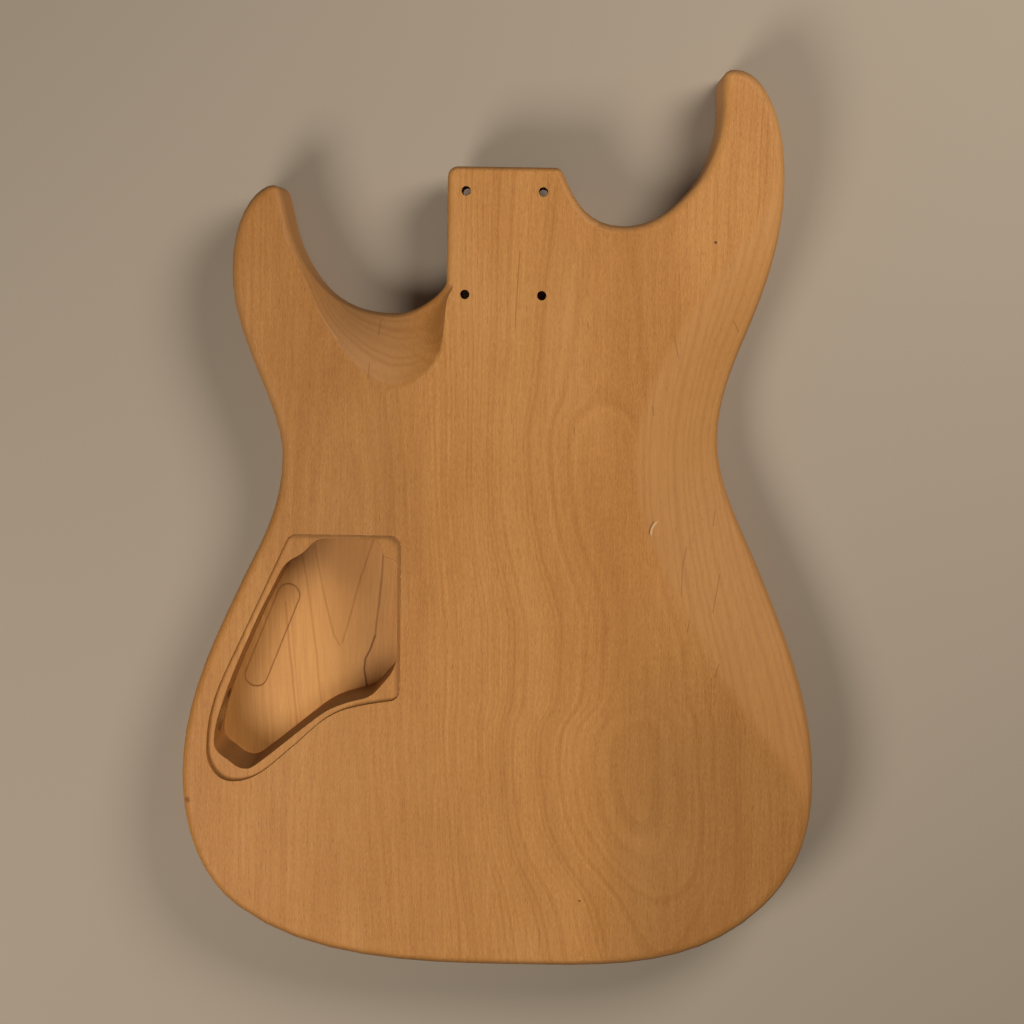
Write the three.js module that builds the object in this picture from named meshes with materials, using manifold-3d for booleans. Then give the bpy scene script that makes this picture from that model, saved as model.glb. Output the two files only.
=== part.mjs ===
// Solid body of an electric guitar, bare wood with no hardware: an alder back glued up from
// three boards, and a maple top glued up from two bookmatched halves.
// Units are millimetres. The body lies face down.
// Origin: the middle of the bridge line, on the front face.
// +X points to the bass side, +Y along the centreline to the neck, +Z out of the back.
import * as THREE from "three";
import { mergeVertices } from "three/addons/utils/BufferGeometryUtils.js";
import Module from "manifold-3d";

const wasm = await Module();
wasm.setup();

// Wood stock
const bodyThickness = 44.45;
const topThickness = 6.35;
const middleBoardWidth = 92;

// Edges
const roundOver = 4.8;
const heelEdgeRadius = 3;

// Neck pocket, open at the heel's end and along the treble side of the heel
const bridgeToPocket = 184.15;
const pocketLength = 76.2;
const pocketWidth = 56;
const pocketDepth = 15.9;
const pocketCornerRadius = 6.35;
const trebleFingerLength = 14;
const bassFingerLength = 62;

// Neck screws, standard bolt-on pattern
const neckScrewDiameter = 4.5;
const neckScrewSpacingAcross = 38.1;
const neckScrewSpacingAlong = 50.8;
const neckScrewSetback = 12;

// Heel
const heelTrebleMargin = 0.2;
const heelCornerReach = 27.2;
const heelTrebleRadius = 5;
const heelBassRadius = 4;
const heelSideLength = 57;

// Lower bout, measured from the centreline and the bridge line
const bottomDrop = 144.2;
const bottomOffset = 26;
const boutBassReach = 161.1;
const boutTrebleReach = 159.9;
const boutDrop = 48.3;

// Waist
const waistBassReach = 109;
const waistTrebleReach = 109.5;
const waistBassRise = 127.4;
const waistTrebleRise = 115.9;

// Bass horn, heights measured from the heel's end. The tip's place is a share of the width.
const hornBassReach = 137.9;
const hornBassBelowHeel = 9.3;
const tipBassShare = 0.803;
const tipBassAboveHeel = 49;
const hornBassWidth = 32;
const innerBassAboveHeel = 30.7;
const cutBassReach = 58.8;
const cutBassDepth = 28;

// Treble horn, measured like the bass one
const hornTrebleReach = 134.8;
const hornTrebleBelowHeel = 52.1;
const tipTrebleShare = 0.71;
const tipTrebleBelowHeel = 10.6;
const hornTrebleWidth = 28.6;
const innerTrebleBelowHeel = 30.6;
const cutTrebleReach = 56;
const cutTrebleDepth = 73.2;

// Belly cut along the bass waist, and access scoop at the treble cutaway
const bellyReach = 44;
const bellyDepth = 13;
const scoopReach = 35;
const scoopDepth = 16;

// Control cavity with its cover recess, cut from the back
const coverRecessDepth = 3;
const cavityFloorThickness = 4.8;
const recessInner = 49.3;
const recessEdgeMargin = 12.9;
const recessTop = 76.5;
const recessBottom = 50.3;
const recessCornerRadius = 5.5;
const switchSlotWidth = 11.8;
const switchSlotLength = 57.8;
const switchSlotDepth = 1.2;
const switchSlotHeading = 68.5;
const switchSlotAcrossShare = 0.29;
const switchSlotAlongShare = 0.543;

// Two pickup routes, cut from the front
const pickupWidth = 71;
const pickupLength = 40;
const pickupDepth = 19;
const pickupCornerRadius = 3.2;
const pickupEarSpan = 87;
const pickupEarWidth = 15;
const pickupEarDepth = 22.5;
const bridgePickupRise = 41;
const neckPickupGap = 9;

// Bores that nothing shows from the back
const wireBoreDiameter = 9;
const wireBoreHeight = 11.2;
const wireBoreOffset = 17;
const cavityWireBoreHeight = 15;
const jackBoreDiameter = 22.2;
const jackBoreDrop = 18;

// How far a cut runs past the wood, and how finely curves are stepped
const overrun = 10;
const stretchSteps = 9;
const scoopSteps = 14;
const cavitySteps = 5;
const cornerSteps = 4;
const edgeSteps = 4;
const carveSteps = 7;
const boreSides = 32;

const back = bodyThickness;
const heelEnd = bridgeToPocket + pocketLength;
const pocketHalf = pocketWidth / 2;
const heelTrebleReach = pocketHalf + heelTrebleMargin;
const tipBassReach = hornBassReach - hornBassWidth * tipBassShare;
const innerBassReach = hornBassReach - hornBassWidth;
const tipTrebleReach = hornTrebleReach - hornTrebleWidth * tipTrebleShare;
const innerTrebleReach = hornTrebleReach - hornTrebleWidth;
const recessOuter = boutTrebleReach - recessEdgeMargin;

// The way that a heading points, with 0 degrees along +X and 90 along +Y
function direction(heading) {
  const angle = THREE.MathUtils.degToRad(heading);
  return new THREE.Vector2(Math.cos(angle), Math.sin(angle));
}

// A station is a point that an outline passes, with its heading there. The shares say how far
// the curve's handles reach before and after it, of the chord to the next station.
function station(name, x, y, heading, beforeShare, afterShare, edge = roundOver, steps = stretchSteps) {
  return { name, point: new THREE.Vector2(x, y), heading, beforeShare, afterShare, edge, steps };
}

// A station whose place is a share of the way from one station to another, across and along
function between(name, from, to, acrossShare, alongShare, heading, beforeShare, afterShare) {
  const x = THREE.MathUtils.lerp(from.point.x, to.point.x, acrossShare);
  const y = THREE.MathUtils.lerp(from.point.y, to.point.y, alongShare);
  return station(name, x, y, heading, beforeShare, afterShare);
}

// The two stations of a rounded corner, a true arc between two headings
function corner(name, x, y, headingIn, headingOut, radius, options = {}) {
  const { edge = roundOver, beforeShare = 0, stepsAfter = 1 } = options;
  const turn = THREE.MathUtils.degToRad(headingOut - headingIn);
  const setback = radius * Math.tan(turn / 2);
  const arcShare = (2 * Math.tan(turn / 4)) / (3 * Math.sin(turn / 2));
  const point = new THREE.Vector2(x, y);
  const start = point.clone().addScaledVector(direction(headingIn), -setback);
  const end = point.clone().addScaledVector(direction(headingOut), setback);
  return [
    station(`${name}_start`, start.x, start.y, headingIn, beforeShare, arcShare, edge, cornerSteps),
    station(`${name}_end`, end.x, end.y, headingOut, arcShare, 0, edge, stepsAfter),
  ];
}

// Steps a closed outline into points, counter-clockwise, with the edge radius at each
function traceOutline(stations) {
  const points = [];
  const edges = [];
  const startsAt = {};
  stations.forEach((from, index) => {
    const to = stations[(index + 1) % stations.length];
    const chord = from.point.distanceTo(to.point);
    const leave = from.point.clone().addScaledVector(direction(from.heading), chord * from.afterShare);
    const arrive = to.point.clone().addScaledVector(direction(to.heading), -chord * to.beforeShare);
    const curve = new THREE.CubicBezierCurve(from.point, leave, arrive, to.point);
    startsAt[from.name] = points.length;
    curve.getPoints(from.steps).slice(0, -1).forEach((point, step) => {
      points.push(point);
      edges.push(THREE.MathUtils.lerp(from.edge, to.edge, step / from.steps));
    });
  });
  return { points, edges, startsAt };
}

// Outline of the body
function bodyOutline() {
  const bottom = station("bottom", bottomOffset, -bottomDrop, 0, 0.33, 0.4);
  const boutBass = station("bout_bass", boutBassReach, -boutDrop, 90, 0.38, 0.35);
  const waistBass = station("waist_bass", waistBassReach, waistBassRise, 90, 0.33, 0.35);
  const hornBass = station("horn_bass", hornBassReach, heelEnd - hornBassBelowHeel, 90, 0.33, 0.3);
  const tipBass = station("tip_bass", tipBassReach, heelEnd + tipBassAboveHeel, 180, 0.36, 0.45);
  const innerBass = station("inner_bass", innerBassReach, heelEnd + innerBassAboveHeel, 270, 0.42, 0.35);
  const cutBass = station("cut_bass", cutBassReach, heelEnd - cutBassDepth, 180, 0.36, 0.5);
  const heelSide = station(
    "heel_side", -heelTrebleReach, heelEnd - heelSideLength, 270, 0, 0.1, heelEdgeRadius, scoopSteps,
  );
  const cutTreble = station("cut_treble", -cutTrebleReach, heelEnd - cutTrebleDepth, 180, 0.42, 0.42);
  const innerTreble = station(
    "inner_treble", -innerTrebleReach, heelEnd - innerTrebleBelowHeel, 104, 0.33, 0.62,
  );
  const tipTreble = station("tip_treble", -tipTrebleReach, heelEnd - tipTrebleBelowHeel, 180, 0.22, 0.17);
  const hornTreble = station(
    "horn_treble", -hornTrebleReach, heelEnd - hornTrebleBelowHeel, 270, 0.6, 0.35,
  );
  const waistTreble = station("waist_treble", -waistTrebleReach, waistTrebleRise, 270, 0.28, 0.42);
  const boutTreble = station("bout_treble", -boutTrebleReach, -boutDrop, 270, 0.35, 0.35);
  return traceOutline([
    bottom,
    between("corner_bass", bottom, boutBass, 0.823, 0.339, 45, 0.35, 0.35),
    boutBass,
    between("flank_bass", boutBass, waistBass, 0.578, 0.628, 113.5, 0.35, 0.35),
    waistBass,
    between("upper_bass", waistBass, hornBass, 0.502, 0.463, 69, 0.35, 0.33),
    hornBass,
    between("shoulder_bass", hornBass, tipBass, 0.163, 0.584, 108, 0.33, 0.33),
    tipBass,
    innerBass,
    between("crook_bass", innerBass, cutBass, 0.278, 0.667, 230, 0.33, 0.36),
    cutBass,
    ...corner("heel_bass", heelCornerReach, heelEnd, 116, 180, heelBassRadius, {
      edge: heelEdgeRadius,
      beforeShare: 0.3,
    }),
    ...corner("heel_treble", -heelTrebleReach, heelEnd, 180, 270, heelTrebleRadius, { edge: heelEdgeRadius }),
    heelSide,
    cutTreble,
    between("crook_treble", cutTreble, innerTreble, 0.737, 0.38, 128, 0.33, 0.33),
    innerTreble,
    tipTreble,
    hornTreble,
    between("upper_treble", hornTreble, waistTreble, 0.419, 0.487, 292, 0.35, 0.4),
    waistTreble,
    between("flank_treble", waistTreble, boutTreble, 0.397, 0.387, 245, 0.3, 0.35),
    boutTreble,
    between("corner_treble", boutTreble, bottom, 0.152, 0.708, 323, 0.35, 0.32),
  ]);
}

// A smooth curve through the rows of a table, each a place from 0 to 1 and a share there
function readShares(rows, place) {
  const last = rows.length - 1;
  if (place <= rows[0][0]) return rows[0][1];
  if (place >= rows[last][0]) return rows[last][1];
  const index = rows.findIndex((row, i) => i < last && place < rows[i + 1][0]);
  const slope = (a, b) => (rows[b][1] - rows[a][1]) / (rows[b][0] - rows[a][0]);
  const span = rows[index + 1][0] - rows[index][0];
  const t = (place - rows[index][0]) / span;
  const slopeIn = slope(Math.max(index - 1, 0), index + 1) * span;
  const slopeOut = slope(index, Math.min(index + 2, last)) * span;
  const rise = rows[index + 1][1] - rows[index][1];
  const curve = rows[index][1] + t * slopeIn
    + t * t * (3 * rise - 2 * slopeIn - slopeOut)
    + t * t * t * (slopeIn + slopeOut - 2 * rise);
  return Math.max(0, curve);
}

// A carve lowers the back along a stretch of the outline. Places run along that stretch; reach is
// how far in from the edge it starts, depth how deep it is at the edge, and rise how abruptly
// it leaves the flat back: 0 is tangent, 1 a straight slope, more a wall that levels out.
const bellyCut = {
  from: "corner_bass",
  to: "shoulder_bass",
  reach: bellyReach,
  depth: bellyDepth,
  reachShares: [
    [0.12, 0.05], [0.167, 0.24], [0.22, 0.5], [0.3, 0.78], [0.37, 0.91], [0.44, 0.98], [0.53, 1],
    [0.61, 0.97], [0.68, 0.87], [0.75, 0.75], [0.83, 0.55], [0.92, 0.17], [0.96, 0.05],
  ],
  depthShares: [
    [0.12, 0], [0.167, 0.09], [0.22, 0.22], [0.3, 0.46], [0.44, 0.86], [0.55, 1], [0.61, 1],
    [0.68, 0.88], [0.75, 0.64], [0.83, 0.32], [0.92, 0.06], [0.96, 0],
  ],
  riseShares: [[0.12, 0.8], [0.44, 0.8], [0.55, 0.6], [0.65, 0.3], [0.96, 0.2]],
};
const accessScoop = {
  from: "heel_side",
  to: "inner_treble",
  reach: scoopReach,
  depth: scoopDepth,
  reachShares: [
    [0, 0.03], [0.062, 0.1], [0.12, 0.29], [0.195, 0.68], [0.27, 0.92], [0.323, 1], [0.39, 0.87],
    [0.453, 0.66], [0.547, 0.41], [0.637, 0.23], [0.72, 0.12], [0.85, 0.05], [1, 0.02],
  ],
  depthShares: [
    [0, 0], [0.062, 0.5], [0.12, 0.83], [0.195, 0.98], [0.323, 1], [0.453, 0.94], [0.547, 0.8],
    [0.637, 0.56], [0.72, 0.33], [0.85, 0.09], [1, 0],
  ],
  riseShares: [[0, 1.8], [0.14, 1.8], [0.27, 0.9], [0.36, 0.5], [0.55, 0.8], [1, 0.8]],
};

// How a carve meets the edge at each outline point of its stretch
function carveEdge(outline, carve) {
  const first = outline.startsAt[carve.from];
  const last = outline.startsAt[carve.to];
  const lengths = [0];
  for (let i = first; i < last; i += 1) {
    lengths.push(lengths[i - first] + outline.points[i].distanceTo(outline.points[i + 1]));
  }
  const total = lengths[last - first];
  const rows = new Map();
  lengths.forEach((length, step) => {
    const place = length / total;
    const reach = carve.reach * readShares(carve.reachShares, place);
    const depth = carve.depth * readShares(carve.depthShares, place);
    const rise = readShares(carve.riseShares, place);
    if (reach > 0 && depth > 0) rows.set(first + step, { reach, depth, rise });
  });
  return rows;
}

// For each point of a counter-clockwise outline, the step inwards that moves it a unit in
function inwardSteps(points) {
  const count = points.length;
  const normals = points.map((point, i) => {
    const along = points[(i + 1) % count].clone().sub(point).normalize();
    return new THREE.Vector2(-along.y, along.x);
  });
  return normals.map((normal, i) => {
    const before = normals[(i + count - 1) % count];
    return normal.clone().add(before).divideScalar(1 + normal.dot(before));
  });
}

// The edge radius at each outline point: no more than a share of what a tight corner has room for,
// and easing back to the full radius along the outline on both sides of it
const cornerRoomShare = 0.75;
const cornerEaseShare = 0.35;
function fittedEdges(outline, inward) {
  const count = outline.points.length;
  const room = outline.points.map((point, i) => {
    const next = (i + 1) % count;
    const along = outline.points[next].clone().sub(point);
    const closing = inward[i].clone().sub(inward[next]).dot(along) / along.lengthSq();
    return closing > 0 ? cornerRoomShare / closing : Infinity;
  });
  const fitted = outline.edges.map((edge, i) => Math.min(edge, room[i], room[(i + count - 1) % count]));
  const ease = (i, neighbour) => {
    const apart = outline.points[i].distanceTo(outline.points[neighbour]);
    fitted[i] = Math.min(fitted[i], fitted[neighbour] + apart * cornerEaseShare);
  };
  for (let turn = 0; turn < 2 * count; turn += 1) ease((turn + 1) % count, turn % count);
  for (let turn = 2 * count; turn > 0; turn -= 1) ease((turn - 1) % count, turn % count);
  return fitted;
}

// The blank: the outline at full thickness, both edges rounded over, with the belly cut and the
// scoop lofted between the flat back and the lowered edge
function bodyBlank() {
  const outline = bodyOutline();
  const count = outline.points.length;
  const inward = inwardSteps(outline.points);
  const edges = fittedEdges(outline, inward);
  const carved = new Map([...carveEdge(outline, bellyCut), ...carveEdge(outline, accessScoop)]);
  const positions = [];
  const faces = [];
  const all = [...Array(count).keys()];

  const vertex = (i, inset, z) => {
    const place = outline.points[i].clone().addScaledVector(inward[i], inset);
    positions.push(place.x, place.y, z);
    return positions.length / 3 - 1;
  };
  const band = (lower, upper) => {
    all.forEach((i) => {
      const next = (i + 1) % count;
      faces.push([lower[i], lower[next], upper[next]], [lower[i], upper[next], upper[i]]);
    });
  };
  const lid = (ring, facesUp) => {
    const contour = ring.map((v) => new THREE.Vector2(positions[3 * v], positions[3 * v + 1]));
    THREE.ShapeUtils.triangulateShape(contour, []).forEach(([a, b, c]) => {
      faces.push(facesUp ? [ring[a], ring[b], ring[c]] : [ring[a], ring[c], ring[b]]);
    });
  };

  // Slope, inset and height where the carved back meets the round-over
  const shoulder = all.map((i) => {
    const cut = carved.get(i) ?? { reach: 0, depth: 0, rise: 0 };
    const slope = cut.reach > 0 ? Math.atan((cut.depth * (2 - cut.rise)) / cut.reach) : 0;
    const inset = edges[i] * (1 - Math.sin(slope));
    return { ...cut, slope, inset, height: back - cut.depth };
  });

  const rings = [];
  for (let step = 0; step <= edgeSteps; step += 1) {
    const angle = (Math.PI / 2) * (step / edgeSteps);
    rings.push(all.map((i) => {
      const radius = edges[i];
      return vertex(i, radius * (1 - Math.sin(angle)), radius * (1 - Math.cos(angle)));
    }));
  }
  for (let step = 0; step <= edgeSteps; step += 1) {
    rings.push(all.map((i) => {
      const radius = edges[i];
      const angle = (Math.PI / 2 - shoulder[i].slope) * (step / edgeSteps);
      const centre = shoulder[i].height - radius * Math.cos(shoulder[i].slope);
      return vertex(i, radius * (1 - Math.cos(angle)), centre + radius * Math.sin(angle));
    }));
  }
  for (let step = 1; step <= carveSteps; step += 1) {
    rings.push(all.map((i) => {
      const { reach, depth, rise, inset } = shoulder[i];
      const out = 1 - step / carveSteps;
      const fall = depth * (rise * out + (1 - rise) * out * out);
      return vertex(i, inset + reach * (1 - out), back - fall);
    }));
  }
  rings.slice(1).forEach((ring, i) => band(rings[i], ring));
  lid(rings[0], false);
  lid(rings[rings.length - 1], true);
  return closedGeometry(positions, faces);
}

// One closed surface from loose faces: equal corners are joined, and faces that shrink to a
// line are left out
function closedGeometry(positions, faces) {
  const loose = new THREE.BufferGeometry();
  loose.setAttribute("position", new THREE.Float32BufferAttribute(positions, 3));
  loose.setIndex(faces.flat());
  const joined = mergeVertices(loose);
  const index = joined.getIndex().array;
  const kept = [];
  for (let i = 0; i < index.length; i += 3) {
    const [a, b, c] = [index[i], index[i + 1], index[i + 2]];
    if (a !== b && b !== c && c !== a) kept.push(a, b, c);
  }
  joined.setIndex(kept);
  return joined;
}

// Solids for cutting and joining
function solid(geometry) {
  const bare = geometry.clone();
  bare.deleteAttribute("normal");
  bare.deleteAttribute("uv");
  const joined = mergeVertices(bare);
  return new wasm.Manifold(new wasm.Mesh({
    numProp: 3,
    vertProperties: joined.getAttribute("position").array,
    triVerts: new Uint32Array(joined.getIndex().array),
  }));
}

function surface(shape) {
  const mesh = shape.getMesh();
  const geometry = new THREE.BufferGeometry();
  geometry.setAttribute("position", new THREE.BufferAttribute(mesh.vertProperties, 3));
  geometry.setIndex(new THREE.BufferAttribute(mesh.triVerts, 1));
  geometry.computeVertexNormals();
  return geometry;
}

// An upright prism on a closed outline, between two heights
function prism(points, low, high) {
  const geometry = new THREE.ExtrudeGeometry(new THREE.Shape(points), {
    depth: high - low,
    bevelEnabled: false,
  });
  return solid(geometry.translate(0, 0, low));
}

// A round bore between two points
function bore(diameter, from, to) {
  const way = to.clone().sub(from);
  const geometry = new THREE.CylinderGeometry(diameter / 2, diameter / 2, way.length(), boreSides);
  const turn = new THREE.Quaternion().setFromUnitVectors(new THREE.Vector3(0, 1, 0), way.normalize());
  const middle = from.clone().lerp(to, 0.5);
  return solid(geometry.applyQuaternion(turn).translate(middle.x, middle.y, middle.z));
}

// A rectangular block between two opposite corners
function block(low, high) {
  const size = high.clone().sub(low);
  const geometry = new THREE.BoxGeometry().translate(0.5, 0.5, 0.5).scale(size.x, size.y, size.z);
  return solid(geometry.translate(low.x, low.y, low.z));
}

// An upright rectangle with rounded corners
function roundedBlock(left, right, bottom, top, radius, low, high) {
  const { points } = traceOutline([
    ...corner("bottom_right", right, bottom, 0, 90, radius),
    ...corner("top_right", right, top, 90, 180, radius),
    ...corner("top_left", left, top, 180, 270, radius),
    ...corner("bottom_left", left, bottom, 270, 360, radius),
  ]);
  return prism(points, low, high);
}

// The recess that the control cover drops into
function coverRecess() {
  const across = (share) => THREE.MathUtils.lerp(-recessOuter, -recessInner, share);
  const along = (share) => THREE.MathUtils.lerp(-recessBottom, recessTop, share);
  const { points } = traceOutline([
    ...corner("top_inner", -recessInner, recessTop, 90, 180, recessCornerRadius),
    ...corner("top_outer", across(0.427), recessTop, 180, 245.5, recessCornerRadius, {
      stepsAfter: stretchSteps,
    }),
    station("outer_side", across(0.174), along(0.573), 246, 0, 0.35),
    station("outermost", -recessOuter, along(0.129), 270, 0.4, 0.4),
    station("lowest", across(0.133), -recessBottom, 0, 0.38, 0.36),
    station("lower_side", across(0.445), along(0.144), 40, 0.35, 0.35),
    station("bend", across(0.691), along(0.293), 23, 0.38, 0.35),
    ...corner("bottom_inner", -recessInner, along(0.34), 4, 90, recessCornerRadius),
  ]);
  return prism(points, back - coverRecessDepth, back + overrun);
}

// The cavity inside the recess, with a land for a cover screw left in each of its four corners.
// Rows are shares of the recess across and along, a heading, and the two handle shares.
const cavityShares = [
  [0.601, 0.981, 180, 0, 0.4],
  [0.464, 0.909, 205, 0.4, 0.3],
  [0.381, 0.852, 244, 0.4, 0.33],
  [0.234, 0.617, 247, 0.33, 0.33],
  [0.081, 0.32, 253, 0.33, 0.33],
  [0.035, 0.153, 270, 0.36, 0.4],
  [0.091, 0.091, 330, 0.3, 0.3],
  [0.197, 0.047, 0, 0.4, 0.4],
  [0.261, 0.069, 37, 0.35, 0.3],
  [0.586, 0.271, 37, 0.33, 0.36],
  [0.736, 0.326, 18, 0.33, 0.33],
  [0.81, 0.341, 15, 0.3, 0.4],
  [0.911, 0.404, 50, 0.3, 0.3],
  [0.983, 0.53, 90, 0.5, 0],
  [0.98, 0.875, 90, 0, 0.55],
  [0.905, 0.924, 120, 0.4, 0.3],
  [0.851, 0.981, 180, 0.45, 0],
];

function controlCavity() {
  const across = (share) => THREE.MathUtils.lerp(-recessOuter, -recessInner, share);
  const along = (share) => THREE.MathUtils.lerp(-recessBottom, recessTop, share);
  const { points } = traceOutline(cavityShares.map(([x, y, heading, before, after], i) => (
    station(`cavity_${i}`, across(x), along(y), heading, before, after, roundOver, after > 0 ? cavitySteps : 1)
  )));
  const cavity = prism(points, cavityFloorThickness, back + overrun);

  // Shallow slot in the floor for the blade switch, parallel to the outer side
  const middle = new THREE.Vector2(across(switchSlotAcrossShare), along(switchSlotAlongShare));
  const half = direction(switchSlotHeading).multiplyScalar((switchSlotLength - switchSlotWidth) / 2);
  const ends = [middle.clone().sub(half), middle.clone().add(half)];
  const floor = cavityFloorThickness - switchSlotDepth;
  const slotPoints = ends.flatMap((end, side) => {
    const turn = THREE.MathUtils.degToRad(switchSlotHeading + 90 + 180 * side);
    const arc = new THREE.EllipseCurve(
      end.x, end.y, switchSlotWidth / 2, switchSlotWidth / 2, turn, turn + Math.PI,
    );
    return arc.getPoints(boreSides / 2);
  });
  return cavity.add(prism(slotPoints, floor, cavityFloorThickness + switchSlotDepth));
}

// Neck pocket, cut from the front
function neckPocket() {
  const pocket = roundedBlock(
    -pocketHalf, pocketHalf, bridgeToPocket, heelEnd + overrun, pocketCornerRadius, -overrun, pocketDepth,
  );
  const openTrebleSide = block(
    new THREE.Vector3(-pocketHalf - overrun, bridgeToPocket + trebleFingerLength, -overrun),
    new THREE.Vector3(0, heelEnd + overrun, pocketDepth),
  );
  const openBassSide = block(
    new THREE.Vector3(0, bridgeToPocket + bassFingerLength, -overrun),
    new THREE.Vector3(pocketHalf + overrun, heelEnd + overrun, pocketDepth),
  );
  return pocket.add(openTrebleSide).add(openBassSide);
}

function neckScrewBores() {
  const rows = [heelEnd - neckScrewSetback, heelEnd - neckScrewSetback - neckScrewSpacingAlong];
  const columns = [-neckScrewSpacingAcross / 2, neckScrewSpacingAcross / 2];
  return rows.flatMap((y) => columns.map((x) => bore(
    neckScrewDiameter,
    new THREE.Vector3(x, y, pocketDepth - overrun),
    new THREE.Vector3(x, y, back + overrun),
  )));
}

// One pickup route: the coil well and the two deeper ears for its mounting legs
function pickupRoute(centre) {
  const well = roundedBlock(
    -pickupWidth / 2, pickupWidth / 2, centre - pickupLength / 2, centre + pickupLength / 2,
    pickupCornerRadius, -overrun, pickupDepth,
  );
  const ears = [-1, 1].map((side) => {
    const inner = side * (pickupWidth / 2 - pickupEarWidth / 2);
    const outer = side * (pickupEarSpan / 2);
    return roundedBlock(
      Math.min(inner, outer), Math.max(inner, outer),
      centre - pickupEarWidth / 2, centre + pickupEarWidth / 2,
      pickupCornerRadius, -overrun, pickupEarDepth,
    );
  });
  return [well, ...ears];
}

// Wire ways: from the neck pocket through both pickup routes, and from the bridge pickup's ear to
// the control cavity
function wireBores() {
  return [
    bore(
      wireBoreDiameter,
      new THREE.Vector3(-wireBoreOffset, bridgePickupRise, wireBoreHeight),
      new THREE.Vector3(-wireBoreOffset, bridgeToPocket + overrun, wireBoreHeight),
    ),
    bore(
      wireBoreDiameter,
      new THREE.Vector3(-pickupWidth / 2, bridgePickupRise, cavityWireBoreHeight),
      new THREE.Vector3(-recessInner - overrun, bridgePickupRise, cavityWireBoreHeight),
    ),
  ];
}

// Side bore for the output jack, into the outer end of the cavity
function jackBore() {
  return bore(
    jackBoreDiameter,
    new THREE.Vector3(-boutTrebleReach - overrun, -jackBoreDrop, bodyThickness / 2),
    new THREE.Vector3(-recessOuter + overrun, -jackBoreDrop, bodyThickness / 2),
  );
}

function routedBody() {
  const neckPickup = bridgeToPocket - neckPickupGap - pickupLength / 2;
  const cuts = [
    coverRecess(),
    controlCavity(),
    neckPocket(),
    ...neckScrewBores(),
    ...pickupRoute(bridgePickupRise),
    ...pickupRoute(neckPickup),
    ...wireBores(),
    jackBore(),
  ];
  return cuts.reduce((body, cut) => body.subtract(cut), solid(bodyBlank()));
}

// Saws a shape in two with one block, so that both faces of the joint are the same
function saw(shape, sawBlock) {
  return [shape.intersect(sawBlock), shape.subtract(sawBlock)];
}

const alder = { color: 0xb9804a, roughness: 0.62, metalness: 0 };
const maple = { color: 0xd8ab78, roughness: 0.58, metalness: 0 };

// The five glued pieces. Each saw block reaches from its joint to the bass side and beyond.
function gluedPieces() {
  const far = new THREE.Vector3(boutBassReach + overrun, heelEnd + tipBassAboveHeel + overrun, back + overrun);
  const near = new THREE.Vector3(-boutTrebleReach - overrun, -bottomDrop - overrun, -overrun);
  const from = (x) => block(near.clone().setX(x), far);
  const [backSlab, topSlab] = saw(routedBody(), block(near.clone().setZ(topThickness), far));
  const [backRest, backTreble] = saw(backSlab, from(-middleBoardWidth / 2));
  const [backBass, backMiddle] = saw(backRest, from(middleBoardWidth / 2));
  const [topBass, topTreble] = saw(topSlab, from(0));
  return {
    alder_back_treble: [backTreble, alder],
    alder_back_middle: [backMiddle, alder],
    alder_back_bass: [backBass, alder],
    maple_top_treble: [topTreble, maple],
    maple_top_bass: [topBass, maple],
  };
}

const guitarBody = new THREE.Group();
Object.entries(gluedPieces()).forEach(([name, [shape, finish]]) => {
  const mesh = new THREE.Mesh(surface(shape), new THREE.MeshStandardMaterial(finish));
  mesh.name = name;
  guitarBody.add(mesh);
});

export default guitarBody;
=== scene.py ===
"""A bare-wood electric guitar body on a pale floor: sanded alder boards, a maple top, the stage."""
import math

import bmesh
import bpy
from bpy.props import FloatProperty, FloatVectorProperty, PointerProperty
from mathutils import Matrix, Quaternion, Vector


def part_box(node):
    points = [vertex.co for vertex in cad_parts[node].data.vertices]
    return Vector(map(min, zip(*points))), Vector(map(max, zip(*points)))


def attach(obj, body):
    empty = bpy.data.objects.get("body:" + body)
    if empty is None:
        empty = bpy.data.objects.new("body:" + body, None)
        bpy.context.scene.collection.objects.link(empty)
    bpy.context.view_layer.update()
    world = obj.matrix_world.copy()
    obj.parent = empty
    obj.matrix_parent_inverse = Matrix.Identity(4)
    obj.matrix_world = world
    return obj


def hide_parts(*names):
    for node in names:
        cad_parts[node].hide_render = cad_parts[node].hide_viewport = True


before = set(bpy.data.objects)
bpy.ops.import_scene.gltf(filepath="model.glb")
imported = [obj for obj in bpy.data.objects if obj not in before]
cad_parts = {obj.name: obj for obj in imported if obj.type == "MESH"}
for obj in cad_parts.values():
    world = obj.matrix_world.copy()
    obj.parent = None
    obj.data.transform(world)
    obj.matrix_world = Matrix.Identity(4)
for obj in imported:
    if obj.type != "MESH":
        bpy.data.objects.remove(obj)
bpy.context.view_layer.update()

bl_info = {
    "name": "Bare Wood Guitar Body",
    "version": (1, 0, 0),
    "blender": (4, 5, 0),
    "location": "View3D > Sidebar > Guitar Body",
    "description": "Finishes the boards of a guitar body in sanded alder and maple, and sets its stage",
    "category": "Object",
}

MM = 0.001
BODY = "root"
ALDER_NODES = ("alder_back_treble", "alder_back_middle", "alder_back_bass")
MAPLE_NODES = ("maple_top_treble", "maple_top_bass")
GLUE_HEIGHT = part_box("alder_back_middle")[0].z
BACK_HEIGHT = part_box("alder_back_middle")[1].z
BODY_MIDDLE = (0, 80 * MM, 0)

# How meshes are read: a face is level, sloping or upright by the height of its normal
TINY = 0.002 * MM
LEVEL = 0.999
DEAD_LEVEL = 0.99999
SLOPING = (0.3, 0.9998)
UPRIGHT = 0.02
# The facets of the belly cut and the scoop are wider than this beside the flat back
CARVE_STEP = 2.8 * MM
MERGE_ANGLE = math.radians(0.05)

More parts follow.
